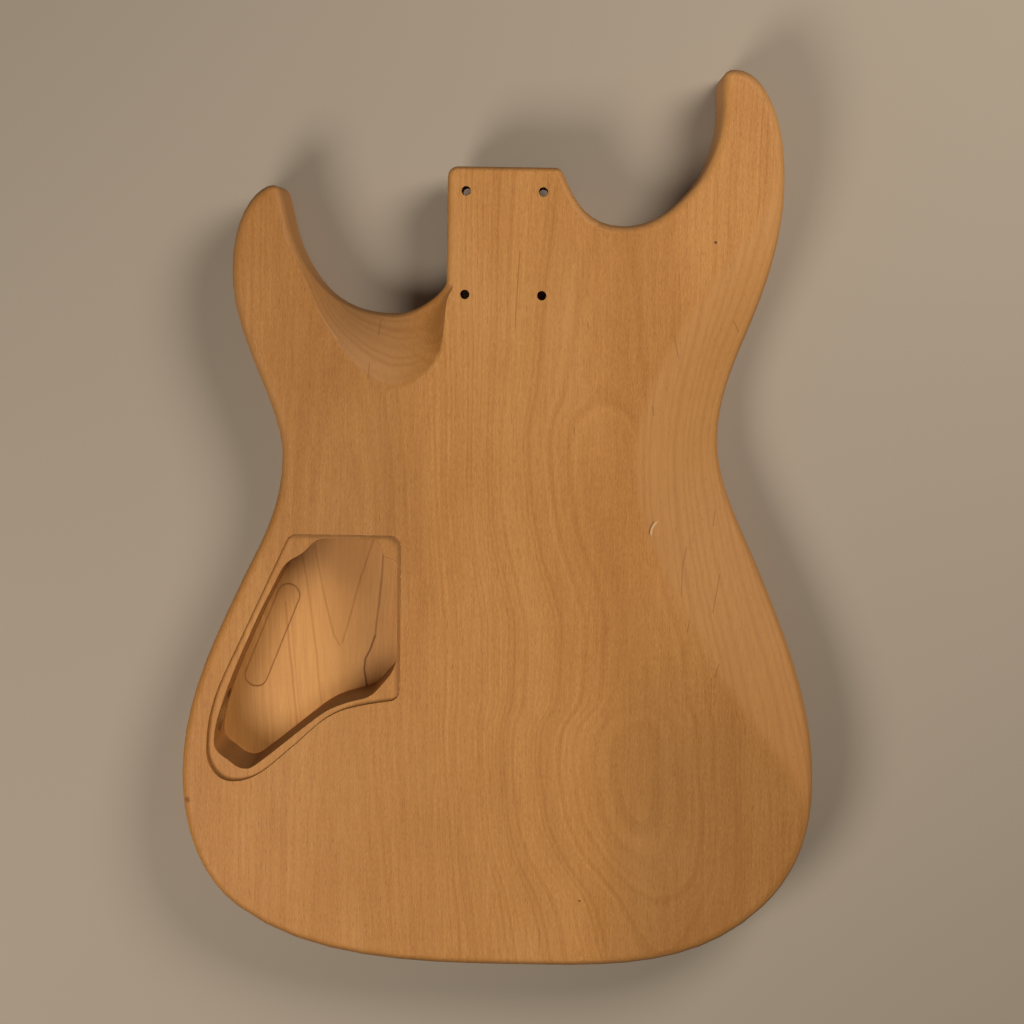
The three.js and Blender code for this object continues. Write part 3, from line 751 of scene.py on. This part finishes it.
def shaped_blank(nodes, settings):
    """The surface of boards that were glued up first and then shaped as one."""
    bpy.ops.object.select_all(action="DESELECT")
    for node in nodes:
        obj = bpy.data.objects.new(f"{node}_shape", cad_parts[node].data.copy())
        bpy.context.scene.collection.objects.link(obj)
        obj.select_set(True)
        bpy.context.view_layer.objects.active = obj
    bpy.ops.object.join()
    blank = bpy.context.object
    planes = joint_planes(nodes)
    bpy.ops.object.mode_set(mode="EDIT")
    bpy.ops.mesh.select_mode(type="FACE")
    edit_mesh(blank, lambda mesh: [face for face in mesh.faces if in_plane(face, planes)])
    bpy.ops.mesh.delete(type="FACE")
    bpy.ops.mesh.select_all(action="SELECT")
    bpy.ops.mesh.remove_doubles(threshold=TINY)
    bpy.ops.mesh.dissolve_limited(angle_limit=MERGE_ANGLE)
    bpy.ops.mesh.select_mode(type="EDGE")
    if edit_mesh(blank, rims):
        bpy.ops.mesh.bevel(offset=settings.rim_ease, segments=2, clamp_overlap=False)
    if edit_mesh(blank, creases):
        bpy.ops.mesh.bevel(offset=settings.crease_ease, segments=3, clamp_overlap=False)
    for plane in planes:
        bpy.ops.mesh.select_all(action="SELECT")
        bpy.ops.mesh.bisect(plane_co=(plane, 0, 0), plane_no=(1, 0, 0), threshold=TINY / 2)
    bpy.ops.object.mode_set(mode="OBJECT")
    bpy.ops.object.shade_smooth_by_angle(angle=settings.smooth_angle)
    bpy.ops.object.modifier_add(type="WEIGHTED_NORMAL")
    blank.modifiers[-1].keep_sharp = True
    bpy.ops.object.modifier_apply(modifier=blank.modifiers[-1].name)
    return blank


def board(blank, planes, node, name, material):
    """One board of a shaped blank: its share of the surface, closed again along its glue joints."""
    low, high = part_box(node)
    only(blank)
    bpy.ops.object.duplicate()
    obj = bpy.context.object
    obj.name = name
    bpy.ops.object.mode_set(mode="EDIT")
    bpy.ops.mesh.select_mode(type="FACE")
    if edit_mesh(obj, lambda mesh: [face for face in mesh.faces
                                    if not low.x < face.calc_center_bounds().x < high.x]):
        bpy.ops.mesh.delete(type="FACE")
    bpy.ops.mesh.select_mode(type="EDGE")
    edit_mesh(obj, open_edges)
    bpy.ops.mesh.mark_sharp()
    bpy.ops.object.mode_set(mode="OBJECT")
    bpy.ops.object.modifier_add(type="DATA_TRANSFER")
    transfer = obj.modifiers[-1]
    transfer.object = blank
    transfer.use_loop_data = True
    transfer.data_types_loops = {"CUSTOM_NORMAL"}
    transfer.loop_mapping = "NEAREST_POLYNOR"
    bpy.ops.object.modifier_apply(modifier=transfer.name)
    bpy.ops.object.mode_set(mode="EDIT")
    for plane in planes:
        bpy.ops.mesh.select_mode(type="EDGE")
        if edit_mesh(obj, lambda mesh: open_edges(mesh, plane)):
            bpy.ops.mesh.fill(use_beauty=True)
            face_outwards(obj, 1 if abs(high.x - plane) < TINY else -1)
    bpy.ops.object.mode_set(mode="OBJECT")
    obj.data.materials.clear()
    obj.data.materials.append(material)
    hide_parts(node)
    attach(obj, BODY)
    return obj


def open_edges(mesh, plane=None):
    """The edges with a face on one side only, all of them or those in one joint's plane."""
    return [edge for edge in mesh.edges if edge.is_boundary and (
        plane is None or all(abs(vertex.co.x - plane) < TINY for vertex in edge.verts))]


def face_outwards(obj, side):
    """Turns the selected faces of a joint towards the side that the joint is on."""
    bpy.ops.mesh.select_mode(type="FACE")
    if edit_mesh(obj, lambda mesh: [face for face in mesh.faces
                                    if face.select and face.normal.x * side < 0]):
        bpy.ops.mesh.flip_normals()


class GUITARBODY_OT_back_boards(bpy.types.Operator):
    """Finish the three alder boards of the back"""

    bl_idname = "guitarbody.back_boards"
    bl_label = "Back Boards"

    def execute(self, context):
        material = alder_material(context.scene.guitar_alder)
        blank = shaped_blank(ALDER_NODES, context.scene.guitar_boards)
        planes = joint_planes(ALDER_NODES)
        for node in ALDER_NODES:
            board(blank, planes, node, f"{node}_board", material)
        bpy.data.objects.remove(blank)
        return {"FINISHED"}


class GUITARBODY_OT_top_halves(bpy.types.Operator):
    """Finish the two maple halves of the top"""

    bl_idname = "guitarbody.top_halves"
    bl_label = "Top Halves"

    def execute(self, context):
        material = maple_material(context.scene.guitar_maple)
        blank = shaped_blank(MAPLE_NODES, context.scene.guitar_boards)
        planes = joint_planes(MAPLE_NODES)
        for node in MAPLE_NODES:
            board(blank, planes, node, f"{node}_half", material)
        bpy.data.objects.remove(blank)
        return {"FINISHED"}


def lamp(name, way, power, settings):
    """A soft lamp that looks at the body from a way: its azimuth and its elevation, in degrees."""
    light = bpy.data.lights.new(name, "AREA")
    light.shape = "DISK"
    light.size = settings.lamp_size
    light.energy = power
    light.color = LAMP_COLOUR
    obj = bpy.data.objects.new(name, light)
    bpy.context.scene.collection.objects.link(obj)
    turn, lift = (math.radians(angle) for angle in way)
    out = Vector((math.cos(turn) * math.cos(lift), math.sin(turn) * math.cos(lift), math.sin(lift)))
    obj.location = Vector(BODY_MIDDLE) + out * settings.lamp_distance
    obj.rotation_euler = out.to_track_quat("Z", "Y").to_euler()


def backdrop_rays(tree):
    """1 for rays from the camera and for those by which gloss or glass would show the backdrop."""
    path = tree.nodes.new("ShaderNodeLightPath")
    kinds = ("Is Camera Ray", "Is Glossy Ray", "Is Transmission Ray")
    camera, gloss, glass = (Signal(tree, path.outputs[kind]) for kind in kinds)
    return camera.most(gloss).most(glass)


def floor_material(settings):
    """A matt floor that looks pale far from the body too, where the lamps don't reach."""
    floor = Finish("pale_floor")
    middle = [place / MM for place in BODY_MIDDLE[:2]]
    far = floor.ring(middle).rise(*LIT_REACH)
    glow = floor.blend(far * backdrop_rays(floor.tree), (0, 0, 0), tuple(settings.floor_colour))
    shader = floor.node("ShaderNodeBsdfPrincipled", None, {
        "Base Color": (*settings.floor_colour, 1), "Roughness": 0.9,
        "Emission Color": glow, "Emission Strength": 1.0})
    return floor.finished(shader)


def soft_sky(settings):
    """A faint even light from all round, which is seen in the floor's colour."""
    world = bpy.data.worlds.new("soft_sky")
    world.use_nodes = True
    tree = world.node_tree
    sky = tree.nodes["Background"]
    sky.inputs["Color"].default_value = (*SKY_COLOUR, 1)
    sky.inputs["Strength"].default_value = settings.sky_strength
    backdrop = tree.nodes.new("ShaderNodeBackground")
    backdrop.inputs["Color"].default_value = (*settings.floor_colour, 1)
    mix = tree.nodes.new("ShaderNodeMixShader")
    backdrop_rays(tree).feed(mix.inputs[0])
    tree.links.new(sky.outputs[0], mix.inputs[1])
    tree.links.new(backdrop.outputs[0], mix.inputs[2])
    tree.links.new(mix.outputs[0], tree.nodes["World Output"].inputs["Surface"])
    return world


def lowest_point():
    """The height of the lowest point of the body."""
    return min(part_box(node)[0].z for node in MAPLE_NODES)


def lay_floor(settings):
    """The floor, a little way under the body."""
    bpy.ops.object.select_all(action="DESELECT")
    height = lowest_point() - settings.floor_drop
    bpy.ops.mesh.primitive_plane_add(size=FLOOR_SIZE, location=(0, 0, height))
    floor = bpy.context.object
    floor.name = "floor"
    floor.data.materials.append(floor_material(settings))


def set_camera():
    """The camera over the body's back, where the photograph was taken."""
    lens = bpy.data.cameras.new("camera")
    lens.sensor_width = SENSOR
    lens.lens = LENS
    lens.clip_start = CLIP_START
    lens.clip_end = CLIP_END
    camera = bpy.data.objects.new("camera", lens)
    bpy.context.scene.collection.objects.link(camera)
    camera.location = CAMERA_PLACE
    turn = Vector(CAMERA_TURN)
    camera.rotation_mode = "QUATERNION"
    camera.rotation_quaternion = Quaternion(turn.normalized(), turn.length)
    bpy.context.scene.camera = camera


class GUITARBODY_OT_stage(bpy.types.Operator):
    """Lay the floor, hang the lamps and set the camera"""

    bl_idname = "guitarbody.stage"
    bl_label = "Stage"

    def execute(self, context):
        settings = context.scene.guitar_stage
        set_camera()
        lay_floor(settings)
        lamp("key", KEY_WAY, settings.key_power, settings)
        lamp("fill", FILL_WAY, settings.fill_power, settings)
        context.scene.world = soft_sky(settings)
        context.scene.view_settings.view_transform = "Standard"
        return {"FINISHED"}


class GUITARBODY_PT_panel(bpy.types.Panel):
    """Sizes, colours and steps of the guitar body"""

    bl_idname = "GUITARBODY_PT_panel"
    bl_label = "Guitar Body"
    bl_space_type = "VIEW_3D"
    bl_region_type = "UI"
    bl_category = "Guitar Body"

    def draw(self, context):
        for group in SETTINGS:
            box = self.layout.box()
            settings = getattr(context.scene, group)
            for name in settings.__annotations__:
                box.prop(settings, name)
        for operator in OPERATORS:
            self.layout.operator(operator.bl_idname)


SETTINGS = {
    "guitar_alder": AlderSettings,
    "guitar_maple": MapleSettings,
    "guitar_boards": BoardSettings,
    "guitar_stage": StageSettings,
}
OPERATORS = (
    GUITARBODY_OT_back_boards,
    GUITARBODY_OT_top_halves,
    GUITARBODY_OT_stage,
)


def register():
    for group in SETTINGS.values():
        bpy.utils.register_class(group)
    for name, group in SETTINGS.items():
        setattr(bpy.types.Scene, name, PointerProperty(type=group))
    for operator in OPERATORS:
        bpy.utils.register_class(operator)
    bpy.utils.register_class(GUITARBODY_PT_panel)


def unregister():
    bpy.utils.unregister_class(GUITARBODY_PT_panel)
    for operator in reversed(OPERATORS):
        bpy.utils.unregister_class(operator)
    for name in SETTINGS:
        delattr(bpy.types.Scene, name)
    for group in reversed(list(SETTINGS.values())):
        bpy.utils.unregister_class(group)


def main():
    register()
    bpy.ops.guitarbody.back_boards()
    bpy.ops.guitarbody.top_halves()
    bpy.ops.guitarbody.stage()


if __name__ == "__main__":
    main()
